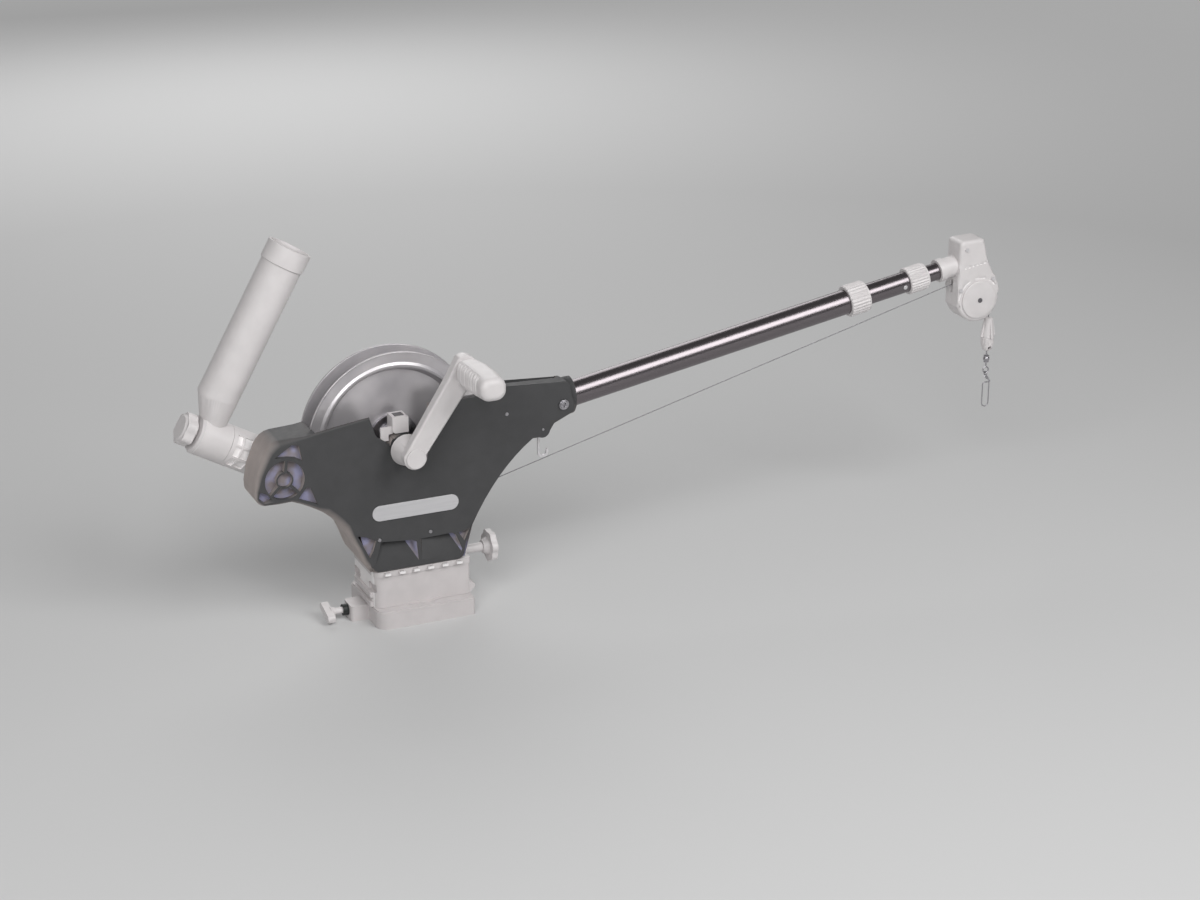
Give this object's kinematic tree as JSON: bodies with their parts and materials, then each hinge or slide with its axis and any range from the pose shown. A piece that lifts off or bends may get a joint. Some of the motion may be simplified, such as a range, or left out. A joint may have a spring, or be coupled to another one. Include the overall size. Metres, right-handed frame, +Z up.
{
  "type": "downrigger",
  "caption": "Manual downrigger: swivel base, moulded reel frame, spool with crank, depth counter, telescoping boom with pulley head, cable with terminator and snap, and a rod holder.",
  "frame": {"origin": "centre of the base plate's underside", "axes": "+X forward along the boom, +Z up, -Y towards the crank"},
  "size_m": [1.0934, 0.2246, 0.4778],
  "materials": {
    "pale_plastic": "satin moulded",
    "charcoal_plastic": "satin moulded",
    "black_plastic": "satin",
    "bush_plastic": "matte",
    "belt_rubber": "matte",
    "steel": "brushed",
    "boom_tube": "polished",
    "spool_metal": "satin",
    "cable_wire": "stranded",
    "badge_plate": "satin",
    "window": "clear gloss",
    "wheel_white": "gloss"
  },
  "bodies": {
    "base": {"base_plate": "pale_plastic", "lock_pin_collar": "black_plastic", "lock_pin_spring": "steel", "pivot_bolt": "steel"},
    "lock_pin": {"lock_pin": "pale_plastic"},
    "swivel": {"swivel_block": "pale_plastic", "frame_near": "charcoal_plastic", "frame_far": "charcoal_plastic", "frame_bolts": "steel", "badge": "badge_plate", "boom_clamp_screw": "steel", "line_guide_bar": "steel", "spool_axle": "steel", "axle_nut": "steel", "near_bushing": "bush_plastic", "counter_case": "pale_plastic", "counter_window": "window", "counter_belt": "belt_rubber", "boom_tube_outer": "boom_tube", "boom_root_plug": "bush_plastic", "outer_guide_bush": "bush_plastic", "rod_stub": "pale_plastic", "cable_lower": "cable_wire"},
    "swivel_knob": {"swivel_knob": "pale_plastic"},
    "spool": {"spool": "spool_metal", "spool_hub": "steel", "cable_winding": "cable_wire"},
    "crank": {"crank_sleeve": "steel", "crank_arm": "pale_plastic", "crank_cap": "pale_plastic", "grip_pin": "steel"},
    "grip": {"crank_grip": "pale_plastic"},
    "pawl": {"ratchet_pawl": "steel"},
    "counter_shaft": {"counter_shaft": "steel"},
    "units_wheel": {"number_wheel_units": "wheel_white"},
    "tens_wheel": {"number_wheel_tens": "wheel_white"},
    "hundreds_wheel": {"number_wheel_hundreds": "wheel_white"},
    "boom_middle": {"boom_tube_middle": "boom_tube", "middle_slide_bush": "bush_plastic", "middle_guide_bush": "bush_plastic", "cable_middle": "cable_wire"},
    "boom_inner": {"boom_tube_inner": "boom_tube", "inner_slide_bush": "bush_plastic", "head_retainer": "bush_plastic", "cable_upper": "cable_wire"},
    "outer_collar": {"outer_collar": "pale_plastic"},
    "middle_collar": {"middle_collar": "pale_plastic"},
    "head": {"head_near": "pale_plastic", "head_far": "pale_plastic", "head_cover": "pale_plastic", "head_screws": "steel", "pulley_axle": "steel", "cable_drop": "cable_wire"},
    "pulley": {"pulley": "black_plastic"},
    "terminator": {"terminator": "pale_plastic"},
    "terminator_swivel": {"terminator_swivel": "steel"},
    "snap": {"terminator_snap": "steel"},
    "storage_hook": {"storage_hook": "steel"},
    "rod_holder": {"rod_holder": "pale_plastic"},
    "rod_knob": {"rod_clamp_knob": "pale_plastic"}
  },
  "joints": [
    {"name": "lock_pin_slide", "type": "slide", "parent": "base", "child": "lock_pin", "axis": [1, 0, 0], "range_m": [0, 0.0075], "deforming": ["lock_pin_spring"]},
    {"name": "swivel_turn", "type": "hinge", "parent": "base", "child": "swivel", "pos_m": [0, 0, 0.0229], "axis": [0, 0, 1], "continuous": true},
    {"name": "swivel_knob_turn", "type": "hinge", "parent": "swivel", "child": "swivel_knob", "pos_m": [0.0985, 0, 0.0636], "axis": [1, 0, 0], "continuous": true},
    {"name": "spool_turn", "type": "hinge", "parent": "swivel", "child": "spool", "pos_m": [-0.0217, 0, 0.228], "axis": [0, 1, 0], "continuous": true},
    {"name": "crank_turn", "type": "hinge", "parent": "swivel", "child": "crank", "pos_m": [-0.0217, 0, 0.228], "axis": [0, 1, 0], "continuous": true},
    {"name": "grip_spin", "type": "hinge", "parent": "crank", "child": "grip", "pos_m": [0.04614, 0, 0.3282], "axis": [0, 1, 0], "continuous": true},
    {"name": "pawl_tilt", "type": "hinge", "parent": "swivel", "child": "pawl", "pos_m": [0.0143, 0, 0.228], "axis": [0, 1, 0], "range_deg": [0, 9]},
    {"name": "counter_shaft_turn", "type": "hinge", "parent": "swivel", "child": "counter_shaft", "pos_m": [-0.023, 0, 0.2542], "axis": [0, 1, 0], "continuous": true},
    {"name": "units_turn", "type": "hinge", "parent": "swivel", "child": "units_wheel", "pos_m": [-0.023, 0, 0.2542], "axis": [0, 1, 0], "continuous": true},
    {"name": "tens_turn", "type": "hinge", "parent": "swivel", "child": "tens_wheel", "pos_m": [-0.023, 0, 0.2542], "axis": [0, 1, 0], "continuous": true},
    {"name": "hundreds_turn", "type": "hinge", "parent": "swivel", "child": "hundreds_wheel", "pos_m": [-0.023, 0, 0.2542], "axis": [0, 1, 0], "continuous": true},
    {"name": "middle_tube_slide", "type": "slide", "parent": "swivel", "child": "boom_middle", "axis": [0.9845, 0, 0.1754], "range_m": [-0.03, 0.36], "deforming": ["cable_lower", "cable_middle"]},
    {"name": "inner_tube_slide", "type": "slide", "parent": "boom_middle", "child": "boom_inner", "axis": [0.9845, 0, 0.1754], "range_m": [-0.015, 0.36], "deforming": ["cable_upper"]},
    {"name": "outer_collar_turn", "type": "hinge", "parent": "swivel", "child": "outer_collar", "pos_m": [0, 0, 0.2079], "axis": [0.9845, 0, 0.1754], "range_deg": [0, 90]},
    {"name": "middle_collar_turn", "type": "hinge", "parent": "boom_middle", "child": "middle_collar", "pos_m": [0, 0, 0.2079], "axis": [0.9845, 0, 0.1754], "range_deg": [0, 90]},
    {"name": "head_turn", "type": "hinge", "parent": "boom_inner", "child": "head", "pos_m": [0, 0, 0.2079], "axis": [0.9845, 0, 0.1754], "range_deg": [-40, 40]},
    {"name": "pulley_spin", "type": "hinge", "parent": "head", "child": "pulley", "pos_m": [0.7785, 0, 0.29627], "axis": [0, 1, 0], "continuous": true},
    {"name": "terminator_swing", "type": "hinge", "parent": "head", "child": "terminator", "pos_m": [0.8059, 0, 0.26357], "axis": [0, 1, 0], "range_deg": [-20, 20]},
    {"name": "terminator_spin", "type": "hinge", "parent": "terminator", "child": "terminator_swivel", "pos_m": [0.8059, 0, 0.22297], "axis": [0, 0, 1], "continuous": true},
    {"name": "snap_swing", "type": "hinge", "parent": "terminator_swivel", "child": "snap", "pos_m": [0.8059, 0, 0.18697], "axis": [1, 0, 0], "range_deg": [-25, 25]},
    {"name": "hook_swing", "type": "hinge", "parent": "swivel", "child": "storage_hook", "pos_m": [0.1595, 0, 0.2156], "axis": [0, 1, 0], "range_deg": [-25, 25]},
    {"name": "rod_holder_tilt", "type": "hinge", "parent": "swivel", "child": "rod_holder", "pos_m": [-0.167, 0.0318, 0.2075], "axis": [-0.8704, 0, 0.4924], "range_deg": [-60, 60]},
    {"name": "rod_knob_turn", "type": "hinge", "parent": "swivel", "child": "rod_knob", "pos_m": [-0.167, 0.0318, 0.2075], "axis": [-0.8704, 0, 0.4924], "continuous": true}
  ],
  "couplings": [
    {"joint": "crank_turn", "follows": "spool_turn", "ratio": 1},
    {"joint": "counter_shaft_turn", "follows": "spool_turn", "ratio": 1.5556},
    {"joint": "units_turn", "follows": "spool_turn", "ratio": 0.2},
    {"joint": "tens_turn", "follows": "spool_turn", "ratio": 0.02},
    {"joint": "hundreds_turn", "follows": "spool_turn", "ratio": 0.002},
    {"joint": "pulley_spin", "follows": "spool_turn", "ratio": -3.4964}
  ]
}
